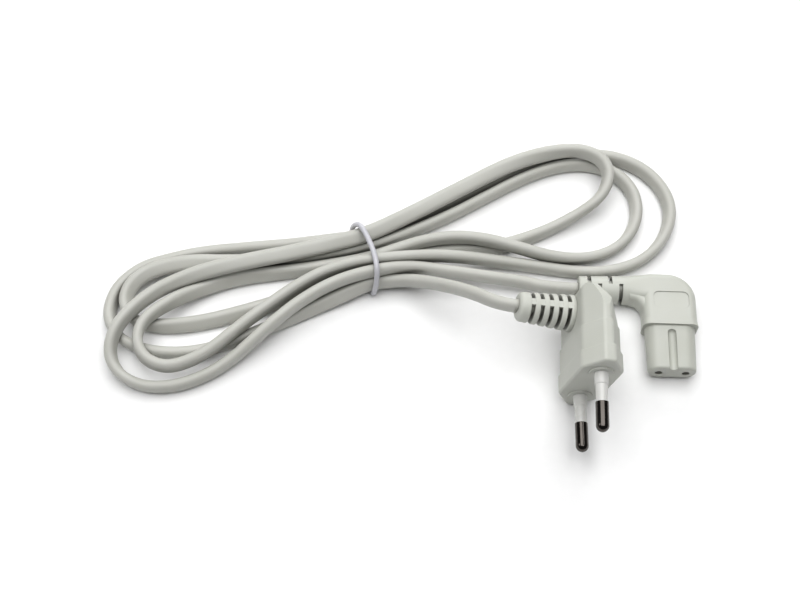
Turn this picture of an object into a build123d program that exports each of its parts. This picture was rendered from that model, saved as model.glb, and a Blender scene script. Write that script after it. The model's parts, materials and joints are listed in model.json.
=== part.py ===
"""Mains power cord: an angled two-pin plug and an angled figure-eight connector on a flat two-core cable.

The cable lies on a table as a loose hank of long turns, gathered once near the middle by a plastic tie. The
plug stands on its narrow end beside the hank, and the connector lies flat. Millimetres, +Z up, the table at
z = 0. Each end has its own frame: the origin at the middle of the engagement face, X across the thickness
of the plug (or the width of the connector), Y along the line that joins the pins of the plug (or up through
the connector), and Z out of the face. The cable leaves both ends towards -X.
"""

from build123d import *
from math import cos, pi, radians, sin, tan
import os

# Where the two ends lie on the table
plug_place = (-7.4, -12.2, 17.451)    # middle of the plug's face
plug_turn = 2.0                       # degrees that the pins point off -Y
plug_lean = 13.0                      # degrees that the plug leans over on its narrow end
connector_place = (20.7, -3.1, 4.9)   # middle of the connector's face
connector_turn = 2.0                  # degrees that the nose points off -Y

# Cable: flat, two insulated cores side by side
cable_width = 5.4
cable_thickness = 3.4
core_radius = 1.0
core_spacing = 2.5
strand_radius = 0.7
bare_length = 0.8                     # bare strands that show between a core and its barrel

# Plug: a long hexagon with a flange at the face and a sloped head behind
plug_thickness = 13.7
plug_width = 35.3
plug_flat = 20.8                      # straight part of the hexagon's broad sides
plug_end_flat = 3.4                   # blunt end of the hexagon
plug_corner = 3.4                     # round between a broad side and a sloped one
plug_end_corner = 1.5                 # and at the blunt ends
face_edge = 0.9                       # round at the front of the flange
step_edge = 0.3                       # and on the small steps behind it
head_edge = 1.2
ring_edge = 0.35                      # on the relief's rings
flange_depth = 6.0
flange_step = 0.6
shoulder_depth = 14.6
shoulder_step = 0.5
head_depth = 28.4
head_back = 26.0                      # width of the head's back
head_side = 31.6                      # width of the head where its sides turn in
head_side_depth = 23.0
head_side_round = 6.0
head_back_round = 2.4
head_slope_depth = 15.4               # where the side away from the cable starts to slope
head_ridge = -2.2                     # how far across the slope runs before it meets the back
head_ridge_round = 3.2

# Pins: shorter bare tips on sleeved shanks, leaning together towards their tips
pin_spacing = 18.6
pin_lean = 1.9
pin_length = 19.0
pin_radius = 2.0
pin_tip_length = 9.3
pin_neck_radius = 1.45
pin_anchor_radius = 2.3
pin_anchor = (4.4, 6.4)               # depths of the anchoring ring behind the face
barrel_start = 9.0
barrel_end = 15.2
barrel_radius = 1.6
barrel_bore = 5.2
sleeve_radii = (1.75, 1.9)            # at the pin's bare tip and at the collar
sleeve_collar_radii = (2.1, 2.25)     # at the collar's step and at the plug's face
sleeve_collar_length = 3.9
sleeve_root_radius = 2.7
sleeve_root_depth = 0.5
sleeve_step = 0.25
face_wall = 1.6
boss_radius = 3.9
boss_height = 0.5
boss_slope = 20                       # degrees

# Carrier: the hard bridge that holds both pins inside the moulding
carrier_length = 27.6
carrier_thickness = 8.2
carrier_depth = 7.0
carrier_window = (6.0, 2.6)

# Plug's strain relief: slotted rings that grow towards the head
relief_depth = 23.2                   # from the face to the cable's axis
relief_end = 23.4                     # from the plug's middle to the mouth
relief_end_radius = 4.6
relief_root_radius = 6.3
relief_end_ring = 3.5
relief_slots = 5
relief_pitch = 2.88
relief_slot = 1.15
relief_spine = 2.1
spine_step = 0.3
relief_core = (6.9, 4.6)
relief_mouth_round = 1.5

# Connector: a figure-eight nose, a collar and elbow round it, and a slotted arm
nose_tip = (15.4, 7.5)
nose_root = (16.2, 7.9)
nose_length = 15.2
nose_tail = (14.2, 6.4)
nose_tail_length = 6.3
nose_edge = 0.9
groove_radius = 1.4
groove_depth = 1.05
groove_length = 12.4
socket_spacing = 8.6
socket_radius = 1.2
contact_start = 3.0                   # depth of the contact's rim behind the face
contact_length = 10.5
contact_radius = 1.7
contact_slit = 0.6
contact_clear = 8.5                   # from the back of the contacts' barrels to the cable's axis
contact_barrel_bore = 5.0

collar_width = 17.1
collar_height = 9.8
elbow_round = 9.0
elbow_edge = 2.6
elbow_corner = 2.8                    # round at the back where the arm leaves
lip_flare = 0.35
lip_length = 2.4
arm_merge = 13.3                      # from the connector's middle to where the arm turns round
web_round = 4.2                       # inner round between arm and collar
web_height = 7.6
web_edge = 1.6
web_step = 0.4
arm_depth = 29.1                      # from the nose's face to the cable's axis
elbow_wall = 4.8                      # from the cable's axis to the back of the elbow
arm_end = 29.1
arm_root_radius = 4.75
arm_end_radius = 4.3
arm_slots = 4
arm_pitch = 3.4
arm_first_slot = 15.6
arm_slot = 1.25
arm_core = (7.2, 4.8)
arm_mouth_round = 0.6
panel_size = (11.4, 6.0)
panel_round = 1.8
panel_depth = 0.3
panel_place = (0.3, 23.8)
contact_barrel_end = arm_depth - contact_clear
elbow_back = arm_depth + elbow_wall
elbow_half = collar_width / 2
sheath_inset = 5.0                    # how far the sheath stops short of the middle of the plug
connector_sheath_end = 12.0

# Hank: the long turns, gathered by the tie
hank_height = 10.9
waist_height = 13.6
waist_reach = (14.0, 13.0)            # how far the gathered part runs to each side of the tie
tie_radius = 0.9
tie_place = (-77.3, 38.3)             # middle of the bundle at the tie
tie_turn = 12.0
bundle_width = 21.4
bundle_corner = 5.0
tie_rise = 2 * tie_radius             # the bundle rides on the tie's lower run

# Cable's route between the hank and the two ends, chosen along the real one
arc_share = 0.45
straight_exit = 6.5                   # how far the cable runs on straight out of the plug's relief
connector_exit = 9.0                  # and out of the connector's arm
plug_route = [(-43.4, 14.9, 23.0), (-49.9, 20.7, 17.0), (-56.5, 25.9, 10.2), (-66.3, 30.3, 5.4)]
connector_route = [(-26.3, 28.7, 4.9), (-43.3, 32.7, 5.6), (-66.3, 33.9, 8.4)]


def end_plane(place, turn, lean):
    """The frame of one end: Z out of the face, X across it, both turned about the vertical."""
    out = Vector(-sin(radians(turn)), -cos(radians(turn)), 0)
    level = cos(radians(lean))
    across = Vector(level * cos(radians(turn)), -level * sin(radians(turn)), -sin(radians(lean)))
    return Plane(origin=place, x_dir=across, z_dir=out)


def local_plane(frame, at, x_dir, z_dir):
    """A plane inside an end's frame, given by a point and two directions of that frame."""
    origin = frame.from_local_coords(Vector(*at))
    base = frame.from_local_coords(Vector(0, 0, 0))
    across = frame.from_local_coords(Vector(*x_dir)) - base
    out = frame.from_local_coords(Vector(*z_dir)) - base
    return Plane(origin=origin, x_dir=across, z_dir=out)


def corner_radii(points):
    """The largest even arcs that the straight runs between the points leave room for."""
    corners = [Vector(*p) for p in points]
    radii = []
    for before, corner, after in zip(corners, corners[1:], corners[2:]):
        turn = (corner - before).get_angle(after - corner)
        shorter = min((corner - before).length, (after - corner).length)
        radii.append(arc_share * shorter / tan(radians(turn / 2)))
    return radii


def round_rod(points, radius):
    """A round rod along straight runs joined by arcs: an insulated core inside a moulding."""
    start = Vector(*points[0])
    with BuildPart() as rod:
        with BuildLine() as route:
            FilletPolyline(*points, radius=corner_radii(points))
        with BuildSketch(Plane(origin=start, z_dir=Vector(*points[1]) - start)):
            Circle(radius)
        sweep(path=route.line)
    return rod.part


def finish(piece, name):
    """Label one piece and write it as its own file."""
    piece.label = name
    export_step(piece, f"parts/{name}.step")


plug_face = end_plane(plug_place, plug_turn, plug_lean)
connector_face = end_plane(connector_place, connector_turn, 0)
os.makedirs("parts", exist_ok=True)


# The plug's pins, sleeves and carrier

def pin_plane(side):
    """The frame of one pin, leaning towards the other pin at its tip."""
    lean = radians(pin_lean)
    along = (0, -side * sin(lean), cos(lean))
    return local_plane(plug_face, (0, side * pin_spacing / 2, 0), (1, 0, 0), along)


def half_profile(plane):
    """The plane in which a turned piece's half outline is drawn: X is the radius, Y runs along the axis."""
    return Plane(origin=plane.origin, x_dir=plane.x_dir, z_dir=plane.x_dir.cross(plane.z_dir))


def make_pin(side):
    """Turned brass pin: round tip, thin sleeved neck, anchoring ring and a bored crimp barrel."""
    plane = pin_plane(side)
    tip_start = pin_length - pin_tip_length
    ring_top, ring_bottom = pin_anchor
    with BuildPart() as pin:
        with BuildSketch(half_profile(plane)):
            with BuildLine():
                Polyline(
                    (0, -barrel_end), (barrel_radius, -barrel_end), (barrel_radius, -barrel_start),
                    (pin_neck_radius, -barrel_start), (pin_neck_radius, -ring_bottom),
                    (pin_anchor_radius, -ring_bottom), (pin_anchor_radius, -ring_top),
                    (pin_neck_radius, -ring_top), (pin_neck_radius, tip_start), (pin_radius, tip_start),
                    (pin_radius, pin_length - pin_radius))
                RadiusArc((pin_radius, pin_length - pin_radius), (0, pin_length), -pin_radius)
                Line((0, pin_length), (0, -barrel_end))
            make_face()
        revolve(axis=Axis(plane.origin, plane.z_dir))
        with BuildSketch(plane.offset(-barrel_end)):
            Circle(strand_radius)
        extrude(amount=barrel_bore, mode=Mode.SUBTRACT)
    return pin.part


def make_sleeve(side):
    """Moulded sleeve on the pin's neck: a root inside the face wall, a thick collar and a thin tube."""
    plane = pin_plane(side)
    tip_start = pin_length - pin_tip_length
    with BuildPart() as sleeve:
        with BuildSketch(half_profile(plane)):
            with BuildLine():
                Polyline(
                    (pin_neck_radius, -face_wall), (sleeve_root_radius, -face_wall),
                    (sleeve_root_radius, -sleeve_root_depth), (sleeve_collar_radii[1], -sleeve_root_depth),
                    (sleeve_collar_radii[0], sleeve_collar_length),
                    (sleeve_radii[1], sleeve_collar_length + sleeve_step),
                    (sleeve_radii[0], tip_start), (pin_neck_radius, tip_start), close=True)
            make_face()
        revolve(axis=Axis(plane.origin, plane.z_dir))
    return sleeve.part


sides = {"upper": 1, "lower": -1}
pins = {name: make_pin(side) for name, side in sides.items()}
sleeves = {name: make_sleeve(side) for name, side in sides.items()}

with BuildPart() as plug_carrier:
    with BuildSketch(plug_face.offset(-face_wall)):
        SlotOverall(carrier_length, carrier_thickness, rotation=90)
        Rectangle(carrier_window[1], carrier_window[0], mode=Mode.SUBTRACT)
    extrude(amount=-carrier_depth)
    for piece in (*pins.values(), *sleeves.values()):
        add(piece, mode=Mode.SUBTRACT)


# The cable's end inside the plug: the sheath stops short, and the cores fan out to the barrels

relief_axis = local_plane(plug_face, (-relief_end, 0, -relief_depth), (0, 1, 0), (1, 0, 0))
with BuildPart() as plug_sheath_end:
    with BuildSketch(relief_axis):
        SlotOverall(cable_width, cable_thickness)
        with Locations((core_spacing / 2, 0), (-core_spacing / 2, 0)):
            Circle(core_radius, mode=Mode.SUBTRACT)
    extrude(amount=relief_end - sheath_inset)


def make_plug_core(side):
    """One insulated core from the mouth of the relief to its pin's barrel."""
    out = core_spacing / 2
    reach = pin_spacing / 2 + barrel_end * sin(radians(pin_lean))
    points = [
        (-relief_end, out, -relief_depth), (-3.6, out, -relief_depth),
        (-2.0, out + 2.2, -relief_depth + 0.3),
        (0, reach + 0.1, -relief_depth + 2.4), (0, reach, -barrel_end - bare_length)]
    placed = [plug_face.from_local_coords(Vector(x, side * y, z)) for x, y, z in points]
    return round_rod([tuple(p) for p in placed], core_radius)


def make_plug_strands(side):
    """The bare strands of one core, crimped in the pin's barrel."""
    plane = pin_plane(side)
    with BuildPart() as strands:
        with BuildSketch(plane.offset(-barrel_end - bare_length)):
            Circle(strand_radius)
        extrude(amount=barrel_bore + bare_length)
    return strands.part


plug_cores = {name: make_plug_core(side) for name, side in sides.items()}
plug_strands = {name: make_plug_strands(side) for name, side in sides.items()}


# The plug's moulding: flange, middle, sloped head and slotted relief, cast round what it holds

def hexagon(plane, inset):
    """The long hexagon of a flat two-pin plug, drawn smaller all round by the inset."""
    half, end = plug_thickness / 2, plug_width / 2
    with BuildSketch(plane) as outline:
        with BuildLine():
            Polyline(
                (half, plug_flat / 2), (plug_end_flat / 2, end), (-plug_end_flat / 2, end), (-half, plug_flat / 2),
                (-half, -plug_flat / 2), (-plug_end_flat / 2, -end), (plug_end_flat / 2, -end),
                (half, -plug_flat / 2), close=True)
        make_face()
        offset(amount=-inset, kind=Kind.INTERSECTION)
        fillet(outline.vertices().sort_by(lambda corner: abs(corner.Y))[:4], radius=plug_corner)
        fillet(outline.vertices().sort_by(lambda corner: abs(corner.Y))[-4:], radius=plug_end_corner)
    return outline.sketch


with BuildPart() as plug_head:
    extrude(hexagon(plug_face.offset(-shoulder_depth), flange_step + shoulder_step),
            amount=-(head_depth - shoulder_depth))
    with BuildSketch(local_plane(plug_face, (-plug_thickness / 2, 0, 0), (0, 1, 0), (1, 0, 0))):
        with BuildLine():
            FilletPolyline(
                (plug_width / 2, -shoulder_depth), (head_side / 2, -head_side_depth),
                (head_back / 2, -head_depth), (-head_back / 2, -head_depth),
                (-head_side / 2, -head_side_depth), (-plug_width / 2, -shoulder_depth),
                radius=[head_side_round, head_back_round, head_back_round, head_side_round])
            Line((-plug_width / 2, -shoulder_depth), (plug_width / 2, -shoulder_depth))
        make_face()
    extrude(amount=plug_thickness, mode=Mode.INTERSECT)
    with BuildSketch(local_plane(plug_face, (0, plug_width / 2, 0), (1, 0, 0), (0, -1, 0))):
        side = plug_thickness / 2 - flange_step - shoulder_step
        with BuildLine():
            FilletPolyline(
                (-side, -shoulder_depth), (-side, -head_depth), (head_ridge, -head_depth),
                (side, -head_slope_depth), radius=[head_edge, head_ridge_round])
            Polyline((side, -head_slope_depth), (side, -shoulder_depth), (-side, -shoulder_depth))
        make_face()
    extrude(amount=plug_width, mode=Mode.INTERSECT)


def relief_radius(at):
    """The relief's outer radius at a distance from its mouth."""
    return relief_end_radius + (relief_root_radius - relief_end_radius) * at / relief_end


with BuildPart() as plug_relief:
    for number in range(relief_slots + 1):
        start = 0 if number == 0 else relief_end_ring + (number - 1) * relief_pitch + relief_slot
        stop = relief_end_ring + number * relief_pitch
        with BuildSketch(half_profile(relief_axis)) as ring:
            with BuildLine():
                Polyline((0, start), (relief_radius(start), start), (relief_radius(stop), stop), (0, stop),
                         close=True)
            make_face()
            for end, radius in ((0, ring_edge if number else relief_mouth_round), (-1, ring_edge)):
                rim = ring.vertices().filter_by(lambda corner: corner.X > relief_end_radius / 2)
                fillet(rim.sort_by(Axis.Y)[end], radius=radius)
        revolve(axis=Axis(relief_axis.origin, relief_axis.z_dir))
    with BuildSketch(relief_axis.offset(relief_end_ring / 2)):
        SlotOverall(*relief_core)
    extrude(amount=relief_end - relief_end_ring / 2)
    for depth in (relief_end_ring / 2, relief_end):
        with BuildSketch(relief_axis.offset(depth)):
            Rectangle(2 * relief_radius(depth) - spine_step, relief_spine)
    loft()

with BuildPart() as plug_housing:
    with BuildPart() as flange:
        extrude(hexagon(plug_face, 0), amount=-flange_depth)
        ends = flange.faces().sort_by(Axis(plug_place, plug_face.z_dir))
        fillet(ends[-1].edges(), radius=face_edge)
        fillet(flange.faces().sort_by(Axis(plug_place, plug_face.z_dir))[0].edges(), radius=step_edge)
    with BuildPart() as middle:
        extrude(hexagon(plug_face.offset(-flange_depth + step_edge), flange_step),
                amount=-(shoulder_depth - flange_depth + step_edge))
        fillet(middle.faces().sort_by(Axis(plug_place, plug_face.z_dir))[0].edges(), radius=step_edge)
    add(plug_head.part)
    add(plug_relief.part)
    for side in sides.values():
        with BuildSketch(plug_face):
            with Locations((0, side * pin_spacing / 2)):
                Circle(boss_radius)
        extrude(amount=boss_height, taper=boss_slope)
    for piece in (plug_carrier.part, plug_sheath_end.part, *pins.values(), *sleeves.values(),
                  *plug_cores.values(), *plug_strands.values()):
        add(piece, mode=Mode.SUBTRACT)


# The connector's insert and contacts

def contact_plane(side):
    """The frame of one socket: its mouth at the face, Z out of it."""
    return local_plane(connector_face, (side * socket_spacing / 2, 0, 0), (1, 0, 0), (0, 0, 1))


def make_contact(side):
    """Rolled contact: a slit tube that grips the pin, and a crimp barrel behind it."""
    plane = contact_plane(side)
    with BuildPart() as contact:
        with BuildSketch(plane.offset(-contact_start)):
            Circle(contact_radius)
        extrude(amount=-(contact_barrel_end - contact_start))
        with BuildSketch(plane.offset(-contact_start)):
            Circle(socket_radius)
        extrude(amount=-contact_length, mode=Mode.SUBTRACT)
        with BuildSketch(plane.offset(-contact_start)):
            with Locations((side * contact_radius, 0)):
                Rectangle(contact_radius, contact_slit)
        extrude(amount=-contact_length, mode=Mode.SUBTRACT)
        with BuildSketch(plane.offset(-contact_barrel_end)):
            Circle(strand_radius)
        extrude(amount=contact_barrel_bore, mode=Mode.SUBTRACT)
    return contact.part


contact_sides = {"left": -1, "right": 1}
contacts = {name: make_contact(side) for name, side in contact_sides.items()}

with BuildPart() as connector_insert:
    with BuildSketch(connector_face):
        SlotOverall(*nose_tip)
    with BuildSketch(connector_face.offset(-nose_length)):
        SlotOverall(*nose_root)
    loft()
    fillet(connector_insert.faces().sort_by(Axis(connector_place, connector_face.z_dir))[-1].edges(),
           radius=nose_edge)
    with BuildSketch(connector_face.offset(-nose_length)):
        SlotOverall(*nose_tail)
    extrude(amount=-nose_tail_length)
    groove_middle = nose_tip[1] / 2 + groove_radius - groove_depth
    for half in (1, -1):
        with BuildSketch(connector_face.offset(1)):
            with Locations((0, half * groove_middle)):
                Circle(groove_radius)
        extrude(amount=-(groove_length + 1), mode=Mode.SUBTRACT)
        add(Pos(connector_face.from_local_coords(Vector(0, half * groove_middle, -groove_length)))
            * Sphere(groove_radius, mode=Mode.PRIVATE), mode=Mode.SUBTRACT)
    for side in contact_sides.values():
        with BuildSketch(contact_plane(side)):
            Circle(socket_radius)
        extrude(amount=-contact_start, mode=Mode.SUBTRACT)
        with BuildSketch(contact_plane(side).offset(-contact_start)):
            Circle(contact_radius)
        extrude(amount=-(nose_length + nose_tail_length - contact_start), mode=Mode.SUBTRACT)


# The cable's end inside the connector

arm_axis = local_plane(connector_face, (-arm_end, 0, -arm_depth), (0, 1, 0), (1, 0, 0))
with BuildPart() as connector_sheath:
    with BuildSketch(arm_axis):
        SlotOverall(cable_width, cable_thickness)
        with Locations((core_spacing / 2, 0), (-core_spacing / 2, 0)):
            Circle(core_radius, mode=Mode.SUBTRACT)
    extrude(amount=arm_end - connector_sheath_end)


def make_connector_core(side):
    """One insulated core from the arm's mouth to its contact: the upper one serves the left contact."""
    up = -side * core_spacing / 2
    across = side * socket_spacing / 2
    points = [
        (-arm_end, up, -arm_depth), (across - 3.6, up, -arm_depth),
        (across - 0.6, up * 0.8, -arm_depth + 1.8),
        (across, 0, -arm_depth + 4.8), (across, 0, -contact_barrel_end - bare_length)]
    placed = [connector_face.from_local_coords(Vector(*p)) for p in points]
    return round_rod([tuple(p) for p in placed], core_radius)


def make_connector_strands(side):
    """The bare strands of one core, crimped in the contact's barrel."""
    with BuildPart() as strands:
        with BuildSketch(contact_plane(side).offset(-contact_barrel_end - bare_length)):
            Circle(strand_radius)
        extrude(amount=contact_barrel_bore + bare_length)
    return strands.part


connector_cores = {name: make_connector_core(side) for name, side in contact_sides.items()}
connector_strands = {name: make_connector_strands(side) for name, side in contact_sides.items()}


# The connector's moulding: collar, elbow with a bare panel, and slotted arm

plan = local_plane(connector_face, (0, 0, 0), (1, 0, 0), (0, 1, 0))   # X across, Y behind the face, Z up
with BuildPart() as inner_web:
    front = arm_depth - arm_root_radius + web_step
    with BuildSketch(plan.offset(-web_height / 2)):
        with BuildLine():
            Polyline((-elbow_half - web_round, front), (-elbow_half - web_round, arm_depth), (0, arm_depth),
                     (0, front - web_round), (-elbow_half, front - web_round))
            RadiusArc((-elbow_half, front - web_round), (-elbow_half - web_round, front), -web_round)
        make_face()
    extrude(amount=web_height)
    fillet(inner_web.edges().filter_by(GeomType.CIRCLE), radius=web_edge)

with BuildPart() as connector_housing:
    with BuildSketch(plan.offset(-collar_height / 2)):
        with BuildLine():
            FilletPolyline(
                (elbow_half, nose_length), (elbow_half, elbow_back), (-elbow_half, elbow_back),
                (-elbow_half, nose_length), radius=[elbow_round, elbow_corner])
            Line((-elbow_half, nose_length), (elbow_half, nose_length))
        make_face()
    extrude(amount=collar_height)
    rims = connector_housing.faces().filter_by(Axis.Z).edges()
    behind = rims.filter_by(lambda edge: plan.to_local_coords(edge.center()).Y > nose_length + 0.01)
    fillet(behind, radius=elbow_edge)
    with BuildSketch(connector_face.offset(-nose_length)):
        RectangleRounded(collar_width + 2 * lip_flare, collar_height, elbow_edge)
    with BuildSketch(connector_face.offset(-nose_length - lip_length)):
        RectangleRounded(collar_width, collar_height, elbow_edge)
    loft()
    with BuildSketch(arm_axis):
        Circle(arm_end_radius)
    with BuildSketch(arm_axis.offset(arm_end - arm_merge)):
        Circle(arm_root_radius)
    loft()
    with BuildSketch(arm_axis.offset(arm_end - arm_merge)):
        Circle(arm_root_radius)
    with BuildSketch(arm_axis.offset(arm_end - elbow_half + elbow_corner)):
        RectangleRounded(collar_height, 2 * (elbow_back - arm_depth), elbow_edge)
    loft()
    add(inner_web.part)
    mouth = connector_housing.edges().filter_by(GeomType.CIRCLE).sort_by_distance(arm_axis.origin)[0]
    fillet(mouth, radius=arm_mouth_round)
    for number in range(arm_slots):
        half = -1 if number % 2 == 0 else 1
        slot_place = arm_end - arm_first_slot - number * arm_pitch
        with BuildSketch(arm_axis.offset(slot_place - arm_slot / 2)):
            Circle(arm_root_radius + 1)
            SlotOverall(*arm_core, mode=Mode.SUBTRACT)
            with Locations((0, half * collar_height)):
                Rectangle(2 * collar_height, 2 * collar_height, mode=Mode.SUBTRACT)
        extrude(amount=arm_slot, mode=Mode.SUBTRACT)
    with BuildSketch(plan.offset(collar_height / 2)):
        with Locations(panel_place):
            RectangleRounded(*panel_size, radius=panel_round)
    extrude(amount=-panel_depth, mode=Mode.SUBTRACT)
    for piece in (connector_insert.part, connector_sheath.part, *contacts.values(),
                  *connector_cores.values(), *connector_strands.values()):
        add(piece, mode=Mode.SUBTRACT)


# The cable's two free stretches

def make_lead(points, flat_along):
    """The flat cable along straight runs joined by arcs, its wide side first along the given direction."""
    start = Vector(*points[0])
    with BuildPart() as lead:
        with BuildLine() as route:
            FilletPolyline(*points, radius=corner_radii(points))
        with BuildSketch(Plane(origin=start, x_dir=flat_along, z_dir=Vector(*points[1]) - start)):
            SlotOverall(cable_width, cable_thickness)
        sweep(path=route.line)
    section = cable_width * cable_thickness - (4 - pi) * (cable_thickness / 2) ** 2
    print("lead radii", [round(r, 1) for r in corner_radii(points)])
    print("length", round(route.wires()[0].length, 1), "volume over section", round(lead.part.volume / section, 1))
    return lead.part


def exit_points(axis, run):
    """The mouth that the cable leaves by, and the end of its straight run out of it."""
    points = [tuple(axis.origin), tuple(axis.offset(-run).origin)]
    print("exit", [tuple(round(v, 2) for v in p) for p in points])
    return points


plug_lead = make_lead(exit_points(relief_axis, straight_exit) + plug_route, plug_face.y_dir)
connector_lead = make_lead(exit_points(arm_axis, connector_exit) + connector_route, (0, 0, 1))


# The hank: the turns' outer shape with the gaps between them, gathered at the tie

hank_outline = [
    (-63.7, 36.1), (-43.3, 36.7), (-18.3, 34.5), (3.7, 32.3), (18.7, 37.1), (27.7, 49.1), (29.3, 61.1),
    (23.7, 74.1), (11.7, 81.5), (-5.3, 82.9), (-22.3, 79.7), (-45.3, 68.1), (-64.3, 56.1), (-78.3, 50.5),
    (-104.3, 47.7), (-130.3, 44.5), (-150.3, 36.7), (-161.3, 25.1), (-162.7, 12.1), (-161.3, 1.1),
    (-152.3, -7.9), (-137.3, -9.3), (-120.3, -2.5), (-104.3, 11.7), (-92.3, 20.7), (-79.3, 26.5),
    (-63.7, 27.5)]
hank_gaps = [
    [(-140.3, 16.1), (-128.3, 27.1), (-110.3, 31.9), (-98.3, 31.1), (-108.3, 21.1),
     (-124.3, 9.9), (-138.3, 7.1)],
    [(-42.3, 50.7), (-27.3, 62.5), (-13.3, 72.5), (-4.7, 73.3), (-1.3, 67.7),
     (-6.3, 60.1), (-17.3, 53.7), (-31.3, 47.3)],
    [(-21.3, 43.7), (-9.3, 50.7), (2.7, 59.1), (7.1, 70.1), (12.1, 61.1),
     (9.3, 49.7), (0.7, 42.5), (-11.3, 41.3)],
    [(16.7, 45.1), (18.1, 56.1), (16.7, 66.1), (23.3, 57.1), (22.3, 49.1)]]
tie_plane = Plane(
    origin=(*tie_place, tie_rise + (waist_height - tie_rise) / 2),
    x_dir=(-sin(radians(tie_turn)), cos(radians(tie_turn)), 0),
    z_dir=(cos(radians(tie_turn)), sin(radians(tie_turn)), 0))
bundle_height = waist_height - tie_rise

with BuildPart() as tie:
    with BuildLine(tie_plane) as loop:
        FilletPolyline(
            (bundle_width / 2 + tie_radius, bundle_height / 2 + tie_radius),
            (-bundle_width / 2 - tie_radius, bundle_height / 2 + tie_radius),
            (-bundle_width / 2 - tie_radius, -bundle_height / 2 - tie_radius),
            (bundle_width / 2 + tie_radius, -bundle_height / 2 - tie_radius),
            radius=bundle_corner + tie_radius, close=True)
    with BuildSketch(Plane(origin=loop.line @ 0, z_dir=loop.line % 0)):
        Circle(tie_radius)
    sweep(path=loop.line)

with BuildPart() as cord_hank:
    with BuildSketch():
        with BuildLine():
            Spline(*hank_outline)
            Line(hank_outline[-1], hank_outline[0])
        make_face()
        for gap in hank_gaps:
            with BuildLine():
                Spline(*gap, periodic=True)
            make_face(mode=Mode.SUBTRACT)
    extrude(amount=hank_height)
    with BuildSketch(tie_plane.offset(-waist_reach[0])):
        RectangleRounded(bundle_width, bundle_height, bundle_corner)
    extrude(amount=sum(waist_reach))
    with BuildSketch(tie_plane.offset(-tie_radius)):
        Rectangle(4 * bundle_width, 4 * bundle_height)
        RectangleRounded(bundle_width, bundle_height, bundle_corner, mode=Mode.SUBTRACT)
    extrude(amount=2 * tie_radius, mode=Mode.SUBTRACT)
    for lead in (plug_lead, connector_lead):
        add(lead, mode=Mode.SUBTRACT)


finish(plug_housing.part, "plug_housing")
finish(plug_carrier.part, "plug_carrier")
finish(plug_sheath_end.part, "plug_sheath_end")
for name in sides:
    finish(pins[name], f"pin_{name}")
    finish(sleeves[name], f"pin_sleeve_{name}")
    finish(plug_cores[name], f"plug_core_{name}")
    finish(plug_strands[name], f"plug_strands_{name}")
finish(connector_housing.part, "connector_housing")
finish(connector_insert.part, "connector_insert")
finish(connector_sheath.part, "connector_sheath_end")
for name in contact_sides:
    finish(contacts[name], f"contact_{name}")
    finish(connector_cores[name], f"connector_core_{name}")
    finish(connector_strands[name], f"connector_strands_{name}")
finish(cord_hank.part, "cord_hank")
finish(plug_lead, "cord_plug_lead")
finish(connector_lead, "cord_connector_lead")
finish(tie.part, "tie")
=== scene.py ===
# %% [markdown]
# # A mains power cord on a pale table
# The object is one flat two-core cable, put away as a loose hank with a tie round its middle. A flat
# two-pin plug stands on its narrow end, and an angled figure-eight connector lies beside it. The hard
# pieces come finished from the CAD model. What is made here is what CAD only fills in: the cable itself,
# turn by turn, the wire tie, and every surface finish.

# %% The frame
import json
import math

import bmesh
import bpy
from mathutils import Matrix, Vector


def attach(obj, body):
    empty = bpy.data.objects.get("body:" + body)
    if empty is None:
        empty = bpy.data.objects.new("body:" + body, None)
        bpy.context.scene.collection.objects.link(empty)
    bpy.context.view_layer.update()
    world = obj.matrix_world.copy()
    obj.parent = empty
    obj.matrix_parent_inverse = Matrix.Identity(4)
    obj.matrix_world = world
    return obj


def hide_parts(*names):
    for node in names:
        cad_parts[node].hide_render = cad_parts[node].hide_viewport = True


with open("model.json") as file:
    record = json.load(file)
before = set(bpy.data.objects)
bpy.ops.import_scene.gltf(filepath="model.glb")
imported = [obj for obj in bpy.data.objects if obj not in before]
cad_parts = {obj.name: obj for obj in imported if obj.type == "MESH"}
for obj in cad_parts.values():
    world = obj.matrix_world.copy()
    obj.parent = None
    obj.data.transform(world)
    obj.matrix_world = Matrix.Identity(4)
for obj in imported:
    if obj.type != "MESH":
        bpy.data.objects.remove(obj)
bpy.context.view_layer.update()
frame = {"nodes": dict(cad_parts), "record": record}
nodes = frame["nodes"]

# %% [markdown]
# ## The camera
# The photograph looks down steeply from the near side. The downward angle is a choice, at which the plug
# stands level, and the lens was kept near a guess. The distance was then fitted to both ends, so that their
# standard sizes fall close to where the photograph has them.

# %% Camera
mm = 0.001
camera_target = Vector((-65.7, 25.5, 0.0)) * mm
camera_distance = 439.0 * mm
camera_elevation = math.radians(63.0)
camera_view_angle = math.radians(33.53)
camera_line = Vector((0, -math.cos(camera_elevation), math.sin(camera_elevation)))

camera_data = bpy.data.cameras.new("camera")
camera_data.angle = camera_view_angle
camera_data.clip_start = 0.01
camera = bpy.data.objects.new("camera", camera_data)
bpy.context.scene.collection.objects.link(camera)
camera.location = camera_target + camera_distance * camera_line
camera.rotation_euler = (math.pi / 2 - camera_elevation, 0, 0)
bpy.context.scene.camera = camera
print("camera at", [round(v, 4) for v in camera.location])

# %% [markdown]
# ## The cable's line
# A flat cable bends easily across its thin side and hardly at all across its wide side, so in a hank it
# stands on its narrow edge, and its turns lie beside and over each other. The line is a NURBS spline with
# control points placed along the real cable, from the plug through all the turns to the connector. A spline
# keeps the bends smooth: it passes near its points, not through them, so there are no kinks to sand away.

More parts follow.
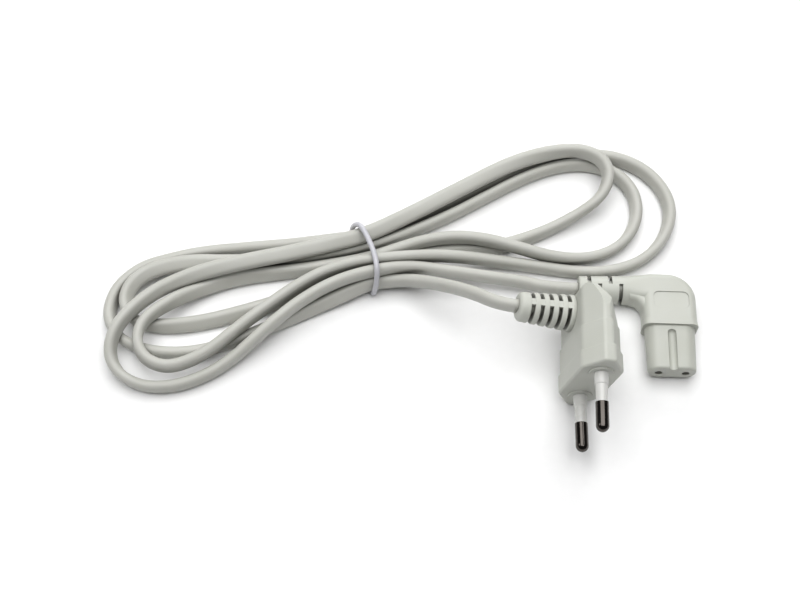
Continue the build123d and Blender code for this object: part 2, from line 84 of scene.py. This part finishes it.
# %% Route of the cable, in millimetres
cord_route = [
    # out of the plug, down to the table and through the tie
    (-29.4, 11.8, 22.7), (-35.2, 12.0, 24.0), (-42.9, 18.9, 18.5), (-52.5, 25.4, 11.5),
    (-62.1, 29.6, 6.4), (-69.6, 30.0, 4.9, 8), (-75.9, 29.4, 4.4, 15),
    # left along the front edge and round the outer left bend
    (-82.1, 26.6, 3.9, 35), (-90.0, 23.1, 2.9, 35), (-97.7, 19.4, 2.7, 28), (-105.7, 15.4, 2.7, 15),
    (-114.3, 11.4, 2.7), (-123.1, 7.5, 2.7), (-132.3, 5.2, 2.7), (-141.3, 4.8, 2.7),
    (-149.5, 6.4, 2.7, -5), (-156.7, 10.3, 2.7, -12), (-160.3, 16.4, 2.7, -15), (-160.6, 22.7, 2.7, -15),
    (-158.3, 29.5, 2.7, -10), (-151.5, 36.3, 2.7),
    # back through the tie, at the bottom of the bundle's far side
    (-142.4, 39.3, 2.7), (-131.9, 42.0, 2.7), (-117.6, 43.5, 2.7), (-102.6, 44.7, 2.9),
    (-89.2, 46.1, 3.8), (-77.1, 47.5, 4.5), (-65.7, 51.6, 4.0), (-52.1, 59.3, 2.7), (-38.2, 67.3, 2.7),
    (-24.9, 74.5, 2.7, -5),
    # round the outer right bend and back
    (-10.8, 79.7, 2.7, -10), (3.8, 80.7, 2.7, -15), (15.7, 76.8, 2.7, -20), (23.6, 68.5, 2.7, -22),
    (26.6, 58.1, 2.7, -22), (23.0, 46.8, 2.7, -20), (14.6, 38.1, 2.7, -12), (3.0, 34.2, 2.7, -5),
    (-8.3, 34.4, 2.7), (-19.8, 36.3, 3.0), (-31.9, 37.4, 4.4), (-43.2, 37.9, 6.6), (-55.2, 37.6, 8.8),
    # through the tie, on top
    (-75.2, 35.4, 9.8),
    # down to the left, round the fold that rides over two runs, and back
    (-83.1, 33.5, 9.8, 2), (-91.5, 30.6, 9.4, 4), (-99.6, 25.8, 8.8, 6), (-107.7, 19.6, 8.4, 6),
    (-115.6, 13.2, 8.2, 4), (-122.5, 6.7, 8.1), (-128.3, 2.3, 7.4), (-133.4, -0.1, 6.9, 4),
    (-138.1, -1.6, 6.8, 5), (-142.6, -1.2, 6.9, 6), (-146.6, 0.9, 7.3, 8), (-149.1, 4.6, 7.9, 10),
    (-149.7, 9.0, 8.2, 10), (-148.4, 13.3, 8.2, 4), (-145.0, 17.2, 8.0, -6), (-140.2, 21.0, 7.2, -18),
    (-137.2, 24.0, 5.2, -30), (-129.9, 28.3, 3.6, -35), (-121.6, 31.7, 2.7, -35),
    (-111.5, 33.6, 2.7, -30), (-100.5, 34.8, 3.0, -20), (-88.9, 36.3, 3.7, -10),
    # through the tie, underneath
    (-76.0, 38.7, 4.5),
    # over its neighbour, round the middle right bend and back
    (-66.4, 41.6, 5.8), (-57.4, 43.8, 7.6), (-47.2, 44.9, 8.4), (-36.9, 43.8, 8.3), (-26.6, 41.2, 7.4),
    (-16.6, 38.8, 5.6), (-6.5, 38.5, 3.8, 5), (3.1, 41.1, 2.8, 12), (10.8, 47.0, 2.7, 18),
    (14.9, 56.1, 2.7, 20), (14.2, 66.0, 2.7, 18), (7.9, 73.9, 2.7, 12), (-1.9, 77.2, 2.7, 6),
    (-13.1, 75.6, 2.7), (-24.4, 70.7, 2.7), (-35.6, 64.0, 2.7), (-47.7, 56.7, 2.7), (-61.3, 49.5, 3.6),
    # through the tie
    (-75.7, 43.2, 4.5),
    # left, half lying on its side, round the inner left bend and back
    (-89.0, 40.5, 4.0), (-101.6, 38.4, 3.6), (-113.2, 37.8, 4.0, 20), (-123.7, 37.0, 4.8, 45),
    (-133.5, 36.9, 5.4, 60), (-143.0, 35.4, 5.4, 60), (-149.4, 33.0, 4.9, 52), (-153.6, 29.5, 4.3, 45),
    (-155.7, 24.8, 3.7, 35), (-155.0, 20.0, 3.1, 20), (-151.9, 16.4, 2.8, 5), (-147.2, 14.7, 2.7, -15),
    (-138.9, 14.7, 2.5, -40), (-129.9, 16.0, 2.5, -40), (-120.6, 18.5, 2.5, -38),
    (-110.9, 21.6, 2.6, -32), (-101.2, 24.9, 2.7, -25), (-89.4, 29.4, 3.3, -12),
    # under the tie's middle
    (-75.3, 34.2, 4.5),
    # round the inner right bend, which climbs onto the other two
    (-65.7, 38.2, 3.6), (-55.0, 42.0, 2.7, -10), (-43.9, 43.0, 2.6, -25), (-33.9, 43.7, 2.6, -25),
    (-24.0, 46.8, 2.7, -15), (-15.1, 50.7, 2.9), (-6.2, 55.5, 4.0, 10), (1.2, 60.2, 6.0, 18),
    (4.4, 65.0, 7.4, 22), (5.3, 70.3, 8.4, 22), (3.0, 75.0, 8.9, 20), (-1.8, 77.9, 8.9, 14),
    (-7.6, 78.9, 8.7, 8), (-17.4, 77.3, 8.2, 40), (-27.8, 73.6, 8.0, 58), (-38.5, 67.7, 7.8, 68),
    (-50.5, 60.5, 7.9, 70), (-64.0, 52.1, 8.8, 62),
    # over the bundle's far side
    (-76.6, 45.0, 9.4, 54),
    # left over the others, round the front left bend and back
    (-88.8, 41.7, 8.9, 60), (-101.9, 38.4, 8.7, 66), (-112.3, 36.1, 8.9, 66), (-122.3, 33.6, 9.0, 62),
    (-131.2, 31.5, 8.1, 54), (-139.0, 28.7, 7.0, 40), (-145.4, 24.8, 7.4, 30), (-151.0, 19.3, 8.3, 20),
    (-155.8, 13.1, 8.5, 14), (-158.2, 7.1, 7.2, 15), (-158.1, 1.5, 5.0, 15), (-154.4, -3.6, 3.4, 10),
    (-146.7, -7.1, 2.7, 5), (-136.9, -6.7, 2.7), (-127.6, -3.1, 2.7), (-119.5, 2.3, 3.6),
    (-112.5, 8.1, 6.2), (-105.9, 14.0, 8.0), (-98.0, 20.8, 8.6), (-87.5, 27.4, 9.2),
    # last pass of the tie
    (-75.2, 31.5, 9.4),
    # along the table to the connector
    (-63.1, 33.8, 8.2), (-50.9, 33.0, 6.6), (-37.7, 31.4, 5.4), (-25.6, 29.8, 4.9), (-17.4, 27.4, 4.9),
    (-7.4, 27.0, 4.9),
]

cable_width = 5.4 * mm
cable_thickness = 3.4 * mm
print("route points:", len(cord_route))

# %% [markdown]
# ## From a line to a solid
# Two small helpers do the work. One makes the spline. The other lets Blender carry a closed section along
# it, with the section's long side upright, and keeps the result as a plain mesh. The line itself is read
# back from the spline with no section on it, and tells how long the cable is. Where a point of a route has
# a fourth value, it leans the section, in degrees. Above zero, the top leans to the right as the route runs.

# %% Spline and sweep helpers
line_steps = 12                 # points that the line gets for each one of the route
section_steps = 8               # faces round each of a section's two round ends
weld_distance = 0.01 * mm


def make_spline(name, points):
    """A smooth open line near the points, as a curve object that no scene shows."""
    curve = bpy.data.curves.new(name, "CURVE")
    curve.dimensions = "3D"
    curve.resolution_u = line_steps
    curve.twist_mode = "Z_UP"
    spline = curve.splines.new("NURBS")
    spline.points.add(len(points) - 1)
    for control, point in zip(spline.points, points):
        control.co = (*(Vector(point[:3]) * mm), 1)
        control.tilt = math.radians(point[3]) if len(point) > 3 else 0
    spline.order_u = 3
    spline.use_endpoint_u = True
    return bpy.data.objects.new(name, curve)


def read_line(line):
    """The points of a curve that has no section."""
    mesh = bpy.data.meshes.new_from_object(line)
    points = [vertex.co.copy() for vertex in mesh.vertices]
    bpy.data.meshes.remove(mesh)
    return points


def make_section(name, width, height, corner_steps):
    """A closed outline with round ends, as long as height and as wide as width."""
    straight = abs(height - width) / 2
    radius = min(width, height) / 2
    curve = bpy.data.curves.new(name, "CURVE")
    curve.dimensions = "2D"
    spline = curve.splines.new("POLY")
    outline = []
    for end in (1, -1):
        for step in range(corner_steps + 1):
            turn = math.pi * step / corner_steps
            outline.append((end * radius * math.cos(turn), end * (straight + radius * math.sin(turn))))
    spline.points.add(len(outline) - 1)
    for control, (x, y) in zip(spline.points, outline):
        control.co = (x, y, 0, 1)
    spline.use_cyclic_u = True
    return bpy.data.objects.new(name, curve)


def sweep(line, section, name):
    """The solid that the section makes along the line, as a mesh object at the origin."""
    line.data.bevel_mode = "OBJECT"
    line.data.bevel_object = section
    line.data.use_fill_caps = True
    for part in (line, section):
        bpy.context.scene.collection.objects.link(part)
    seen = line.evaluated_get(bpy.context.evaluated_depsgraph_get())
    mesh = bpy.data.meshes.new_from_object(seen)
    mesh.name = name
    for part in (line, section):
        bpy.data.objects.remove(part)
    piece = bpy.data.objects.new(name, mesh)
    bpy.context.scene.collection.objects.link(piece)
    shape = bmesh.new()
    shape.from_mesh(mesh)
    bmesh.ops.remove_doubles(shape, verts=shape.verts, dist=weld_distance)
    bmesh.ops.recalc_face_normals(shape, faces=shape.faces)
    shape.to_mesh(mesh)
    shape.free()
    mesh.shade_smooth()
    return piece


def length_of(points):
    return sum((b - a).length for a, b in zip(points, points[1:]))


# %% The cable
cable_line = make_spline("cable line", cord_route)
cable_path = read_line(cable_line)
cable_length = length_of(cable_path)
cable_section = make_section("cable section", cable_thickness, cable_width, section_steps)
cable = sweep(cable_line, cable_section, "cable")
print("cable length", round(cable_length, 4), "m, faces", len(cable.data.polygons))

# %% [markdown]
# ## The tie
# A thin wire in a smooth plastic skin goes once round the bundle, snug on the outermost runs, and its ends
# meet underneath. It leans back on the far side, where it dips out of sight. It is a round section swept
# along its own line. The line is drawn in the bundle's frame: across it, up from the table, and along it.

# %% Tie
tie_radius = 0.9 * mm
tie_middle = Vector((-77.3, 38.3, 0.0))    # in millimetres, as the route
tie_turn = math.radians(12.0)
tie_across = Vector((-math.sin(tie_turn), math.cos(tie_turn), 0))
tie_along = Vector((math.cos(tie_turn), math.sin(tie_turn), 0))
tie_loop = [
    # under the bundle and up its near side
    (0.0, 0.9, 0.0), (-6.0, 0.9, 0.2), (-10.6, 0.9, 0.3), (-12.2, 3.0, 0.4), (-11.9, 6.6, 1.3),
    (-10.4, 10.8, 2.0), (-8.9, 13.2, 2.4),
    # over the top
    (-6.0, 13.7, 2.6), (-2.0, 13.6, 2.5), (2.5, 13.6, 1.8), (6.6, 13.8, 0.8), (9.0, 12.8, -0.3),
    # down the far side and back underneath
    (10.4, 10.4, -1.1), (11.6, 7.0, -1.8), (12.1, 3.4, -2.2), (10.8, 0.9, -1.8), (6.0, 0.9, -0.9),
    (0.0, 0.9, 0.0)]
tie_line = make_spline("tie line", [
    tuple(tie_middle + across * tie_across + along * tie_along + Vector((0, 0, up)))
    for across, up, along in tie_loop])
tie_section = make_section("tie section", 2 * tie_radius, 2 * tie_radius, section_steps)
tie = sweep(tie_line, tie_section, "twist_tie")
print("tie faces", len(tie.data.polygons))

# %% [markdown]
# ## Finishes
# All the finishes share a few ingredients, each built once as a node group: the fine grain that a
# spark-eroded mould leaves on plastic, a slow drift of tone, painted shade that darkens creases and slots,
# and the polish that handling gives to outer edges. A material places the groups it needs and sets its own
# values.

# %% Node helpers


def new_group(name, inputs, outputs):
    """A node group with named float or colour sockets."""
    group = bpy.data.node_groups.new(name, "ShaderNodeTree")
    for label, kind, value in inputs:
        socket = group.interface.new_socket(label, in_out="INPUT", socket_type="NodeSocket" + kind)
        socket.default_value = value
    for label, kind in outputs:
        group.interface.new_socket(label, in_out="OUTPUT", socket_type="NodeSocket" + kind)
    entry = group.nodes.new("NodeGroupInput")
    leave = group.nodes.new("NodeGroupOutput")
    return group, entry, leave


def feed(tree, made, values):
    """Sets or links a node's inputs, by name or number."""
    for key, value in values.items():
        if isinstance(value, bpy.types.NodeSocket):
            tree.links.new(value, made.inputs[key])
        else:
            made.inputs[key].default_value = value


def node(tree, kind, values, **settings):
    """A node with its settings and inputs."""
    made = tree.nodes.new("ShaderNode" + kind)
    for key, value in settings.items():
        setattr(made, key, value)
    feed(tree, made, values)
    return made


def use(tree, group, values):
    """Places a group in a tree."""
    made = tree.nodes.new("ShaderNodeGroup")
    made.node_tree = group
    feed(tree, made, values)
    return made


def object_place(tree):
    """Where on its own object a surface point lies."""
    return node(tree, "TexCoord", {}).outputs["Object"]


# %% Shared ingredients
noise_low, noise_high = 0.35, 0.7           # where a cloud starts, and where it is full
open_crease, closed_crease = 0.75, 0.15     # the share of open air where the painted shade starts, and where it is full
flat_skin, sharp_edge = 0.9, 0.4            # the same, looking inwards, for the polish on edges
shade_rays = 8

grain, entry, leave = new_group(
    "mould grain", [("Vector", "Vector", (0, 0, 0)), ("Size", "Float", 3000.0)], [("Height", "Float")])
spot = {"Vector": entry.outputs["Vector"], "Scale": entry.outputs["Size"]}
fine = node(grain, "TexNoise", {**spot, "Detail": 3.0})
cells = node(grain, "TexVoronoi", spot, feature="SMOOTH_F1")
both = node(grain, "Math", {0: fine.outputs["Fac"], 1: cells.outputs["Distance"]}, operation="MULTIPLY")
grain.links.new(both.outputs[0], leave.inputs["Height"])

drift, entry, leave = new_group(
    "tone drift",
    [("Vector", "Vector", (0, 0, 0)), ("Colour", "Color", (0.6, 0.6, 0.6, 1)),
     ("Second", "Color", (0.6, 0.6, 0.5, 1)), ("Size", "Float", 60.0), ("Amount", "Float", 0.5)],
    [("Colour", "Color"), ("Mask", "Float")])
spot = {"Vector": entry.outputs["Vector"], "Scale": entry.outputs["Size"]}
cloud = node(drift, "TexNoise", {**spot, "Detail": 4.0})
spread = node(drift, "MapRange", {
    "Value": cloud.outputs["Fac"], "From Min": noise_low, "From Max": noise_high})
share = node(drift, "Math", {0: spread.outputs[0], 1: entry.outputs["Amount"]}, operation="MULTIPLY")
blend = node(
    drift, "Mix", {0: share.outputs[0], 6: entry.outputs["Colour"], 7: entry.outputs["Second"]},
    data_type="RGBA")
drift.links.new(blend.outputs[2], leave.inputs["Colour"])
drift.links.new(spread.outputs[0], leave.inputs["Mask"])

# Painted shade: ambient occlusion darkens creases, slots and the gaps between strands towards a near-black
# colour.
creases, entry, leave = new_group(
    "painted crease shade",
    [("Colour", "Color", (0.6, 0.6, 0.6, 1)), ("Painted shade", "Color", (0.2, 0.2, 0.16, 1)),
     ("Reach", "Float", 0.002), ("Amount", "Float", 0.5)],
    [("Colour", "Color")])
reach = {"Distance": entry.outputs["Reach"]}
open_air = node(creases, "AmbientOcclusion", reach, samples=shade_rays, only_local=True)
closed_in = node(creases, "MapRange", {
    "Value": open_air.outputs["AO"], "From Min": open_crease, "From Max": closed_crease})
share = node(creases, "Math", {0: closed_in.outputs[0], 1: entry.outputs["Amount"]}, operation="MULTIPLY")
blend = node(
    creases, "Mix", {0: share.outputs[0], 6: entry.outputs["Colour"], 7: entry.outputs["Painted shade"]},
    data_type="RGBA")
creases.links.new(blend.outputs[2], leave.inputs["Colour"])

edges, entry, leave = new_group("edge polish", [("Reach", "Float", 0.0008)], [("Mask", "Float")])
reach = {"Distance": entry.outputs["Reach"]}
inner = node(edges, "AmbientOcclusion", reach, samples=shade_rays, inside=True, only_local=True)
thin = node(edges, "MapRange", {
    "Value": inner.outputs["AO"], "From Min": flat_skin, "From Max": sharp_edge})
edges.links.new(thin.outputs[0], leave.inputs["Mask"])
print("node groups:", sorted(group.name for group in bpy.data.node_groups))

# %% [markdown]
# ## Soft and hard plastics
# The cable and both mouldings are the same flexible PVC. It is satin: light spreads a little inside it, the
# grain breaks up the highlights, and the outermost edges are rubbed smoother than the rest. In the slots of
# the strain reliefs painted shade takes the tone nearly to black, as in the photograph.

# %% Plastic maker
cloud_size = 90.0                           # the drift of tone, in clouds to the metre
cloud_amount = 0.6
# The near-black colour of the painted shade in creases and slots, and how far round it looks for closed-in
# air.
crease_shade_colour = (0.05, 0.048, 0.034, 1)
crease_reach = 3.0 * mm
edge_reach = 0.8 * mm
edge_shine = -0.08                          # what rubbed edges lose in roughness
skin_share = 0.05                           # how much of the light goes through the skin
skin_depth = 0.6 * mm                       # how far it spreads there
skin_reach = (1.0, 0.9, 0.7)                # red spreads furthest
shiny_patch, dull_patch = -0.04, 0.05       # how far the roughness drifts with the tone


def plastic(name, colour, second, roughness, grain_size, grain_depth, crease_shade=0.5, coat=0.0):
    """A moulded plastic: drifting tone, painted shade in the creases, fine grain and handled edges."""
    material = bpy.data.materials.new(name)
    material.use_nodes = True
    tree = material.node_tree
    surface = tree.nodes["Principled BSDF"]
    place = object_place(tree)
    tone = use(tree, drift, {
        "Vector": place, "Colour": colour, "Second": second, "Size": cloud_size, "Amount": cloud_amount})
    # Painted shade: creases and slots darken towards the near-black crease colour.
    crease_shaded = use(tree, creases, {
        "Colour": tone.outputs["Colour"], "Painted shade": crease_shade_colour, "Reach": crease_reach, "Amount": crease_shade})
    rubbed = use(tree, edges, {"Reach": edge_reach})
    rough = node(tree, "MapRange", {
        "Value": tone.outputs["Mask"], "To Min": roughness + shiny_patch, "To Max": roughness + dull_patch})
    smooth = node(tree, "MapRange", {
        "Value": rubbed.outputs["Mask"], "To Min": 0.0, "To Max": edge_shine})
    rough = node(tree, "Math", {0: rough.outputs[0], 1: smooth.outputs[0]}, operation="ADD")
    height = use(tree, grain, {"Vector": place, "Size": grain_size})
    bump = node(tree, "Bump", {
        "Height": height.outputs["Height"], "Strength": 0.5, "Distance": grain_depth})
    tree.links.new(crease_shaded.outputs["Colour"], surface.inputs["Base Color"])
    tree.links.new(rough.outputs[0], surface.inputs["Roughness"])
    tree.links.new(bump.outputs["Normal"], surface.inputs["Normal"])
    surface.inputs["Subsurface Weight"].default_value = skin_share
    surface.inputs["Subsurface Radius"].default_value = skin_reach
    surface.inputs["Subsurface Scale"].default_value = skin_depth
    surface.inputs["Coat Weight"].default_value = coat
    return material


# tone, the tone it drifts to, roughness, grains to the metre and their depth, and, where given, how strongly
# the creases get painted shade
finishes = {
    "moulding_pvc": plastic(
        "moulded pvc", (0.485, 0.495, 0.45, 1), (0.455, 0.465, 0.415, 1), 0.48, 2600.0, 0.04 * mm,
        crease_shade=0.95),
    "cable_pvc": plastic(
        "cable pvc", (0.47, 0.47, 0.435, 1), (0.44, 0.44, 0.40, 1), 0.48, 3200.0, 0.02 * mm, crease_shade=0.7),
    "insert_plastic": plastic(
        "nose plastic", (0.46, 0.47, 0.425, 1), (0.43, 0.44, 0.39, 1), 0.46, 3000.0, 0.03 * mm, crease_shade=0.8),
    "carrier_plastic": plastic(
        "carrier plastic", (0.50, 0.49, 0.43, 1), (0.44, 0.43, 0.38, 1), 0.5, 2200.0, 0.04 * mm),
    "sleeve_plastic": plastic(
        "sleeve plastic", (0.60, 0.60, 0.58, 1), (0.56, 0.56, 0.53, 1), 0.34, 3600.0, 0.01 * mm),
    "tie_plastic": plastic(
        "tie plastic", (0.52, 0.52, 0.555, 1), (0.48, 0.48, 0.52, 1), 0.36, 1800.0, 0.02 * mm, coat=0.2),
    "core_brown": plastic(
        "brown core", (0.11, 0.045, 0.02, 1), (0.08, 0.03, 0.015, 1), 0.4, 3000.0, 0.02 * mm),
    "core_blue": plastic(
        "blue core", (0.03, 0.10, 0.32, 1), (0.02, 0.07, 0.26, 1), 0.4, 3000.0, 0.02 * mm),
}

# %% [markdown]
# ## Metals
# The pin tips are brass with a thin nickel coat, polished bright, with faint scratches along the pin from
# the sockets it has been in. In the photograph they look almost black, with one bright streak, as a mirror
# does in a dark room. The table and lamps here would turn real nickel pale, so its tone is set far darker
# than the metal's own. The contacts are plain rolled brass, and the strands bare copper.

# %% Metal maker
patch_size = 300.0
patch_amount = 0.5
scratch_size = 2500.0
scratch_range = (0.3, 0.75)                 # the noise's values for bare metal and for the deepest scratch
scratch_depth = 0.004 * mm
scratch_roughness = 0.14                    # what the deepest scratches add in roughness


def metal(name, colour, second, roughness, stretch):
    """A metal with drifting tone and fine scratches that run along Y, the way the pins slide."""
    material = bpy.data.materials.new(name)
    material.use_nodes = True
    tree = material.node_tree
    surface = tree.nodes["Principled BSDF"]
    place = object_place(tree)
    tone = use(tree, drift, {
        "Vector": place, "Colour": colour, "Second": second, "Size": patch_size, "Amount": patch_amount})
    drawn = node(tree, "Mapping", {"Vector": place, "Scale": stretch})
    lines = node(tree, "TexNoise", {
        "Vector": drawn.outputs[0], "Scale": scratch_size, "Detail": 4.0})
    rough = node(tree, "MapRange", {
        "Value": lines.outputs["Fac"], "From Min": scratch_range[0], "From Max": scratch_range[1],
        "To Min": roughness, "To Max": roughness + scratch_roughness})
    bump = node(tree, "Bump", {
        "Height": lines.outputs["Fac"], "Strength": 0.25, "Distance": scratch_depth})
    tree.links.new(tone.outputs["Colour"], surface.inputs["Base Color"])
    tree.links.new(rough.outputs[0], surface.inputs["Roughness"])
    tree.links.new(bump.outputs["Normal"], surface.inputs["Normal"])
    surface.inputs["Metallic"].default_value = 1.0
    return material


finishes["nickel"] = metal(
    "polished nickel", (0.075, 0.068, 0.062, 1), (0.05, 0.045, 0.04, 1), 0.06, (1.0, 0.06, 1.0))
finishes["contact_brass"] = metal(
    "rolled brass", (0.62, 0.44, 0.16, 1), (0.52, 0.36, 0.14, 1), 0.25, (1.0, 0.08, 1.0))
finishes["copper"] = metal(
    "bare copper", (0.72, 0.33, 0.18, 1), (0.58, 0.26, 0.15, 1), 0.28, (1.0, 0.05, 1.0))
print("finishes:", sorted(finishes))

# %% [markdown]
# ## Who wears what
# Every CAD node names its material slot in the record, so one loop gives each its finish. The cable
# replaces the plain hank and its two leads, and the wire tie replaces the plain loop.

# %% Dress the CAD nodes
slots = {part["node"]: part["material_slot"] for part in frame["record"]["subparts"]}
for name, piece in nodes.items():
    piece.data.materials.clear()
    piece.data.materials.append(finishes[slots[name]])

for piece, slot in ((cable, "cable_pvc"), (tie, "tie_plastic")):
    piece.data.materials.append(finishes[slot])
    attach(piece, "root")
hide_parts("cord_hank", "cord_plug_lead", "cord_connector_lead")
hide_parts("tie")

# %% [markdown]
# ## The cable's length
# The photograph shows it from end to end, so its length is the line's own, about one and a half metres.

# %% [markdown]
# ## Table and light
# The photograph was taken on white with soft light from above, so the tops are pale and the upright sides
# fall into a soft olive grey. A white plane, one wide soft lamp overhead and two weaker ones give the same.

# %% Table
floor_half = 1.5
fibre_size = 400.0
paper_dark, paper_light = 0.85, 0.88
floor_shape = bmesh.new()
bmesh.ops.create_grid(floor_shape, x_segments=1, y_segments=1, size=floor_half)
floor_mesh = bpy.data.meshes.new("floor")
floor_shape.to_mesh(floor_mesh)
floor_shape.free()
floor = bpy.data.objects.new("floor", floor_mesh)
bpy.context.scene.collection.objects.link(floor)
paper = bpy.data.materials.new("white paper")
paper.use_nodes = True
tree = paper.node_tree
surface = tree.nodes["Principled BSDF"]
fibres = node(tree, "TexNoise", {"Vector": object_place(tree), "Scale": fibre_size, "Detail": 3.0})
shade = node(tree, "MapRange", {
    "Value": fibres.outputs["Fac"], "To Min": paper_dark, "To Max": paper_light})
tree.links.new(shade.outputs[0], surface.inputs["Base Color"])
surface.inputs["Roughness"].default_value = 0.9
floor_mesh.materials.append(paper)

# %% Lamps
lamps = [    # name, place in metres, side in metres, watts
    ("top", (-0.05, 0.16, 0.94), 1.1, 13.4),
    ("back", (0.1, 1.1, 0.45), 0.5, 4.5),
    ("left", (-0.9, 0.1, 0.6), 0.4, 1.4)]
for name, place, size, power in lamps:
    lamp_data = bpy.data.lights.new(name, "AREA")
    lamp_data.shape = "SQUARE"
    lamp_data.size = size
    lamp_data.energy = power
    lamp = bpy.data.objects.new(name, lamp_data)
    lamp.location = place
    lamp.rotation_euler = (Vector(place) - camera_target).to_track_quat("Z", "Y").to_euler()
    bpy.context.scene.collection.objects.link(lamp)

room_light = 0.09
world = bpy.data.worlds.new("room")
world.use_nodes = True
world.node_tree.nodes["Background"].inputs["Color"].default_value = (1, 1, 1, 1)
world.node_tree.nodes["Background"].inputs["Strength"].default_value = room_light
bpy.context.scene.world = world
bpy.context.scene.view_settings.view_transform = "Standard"
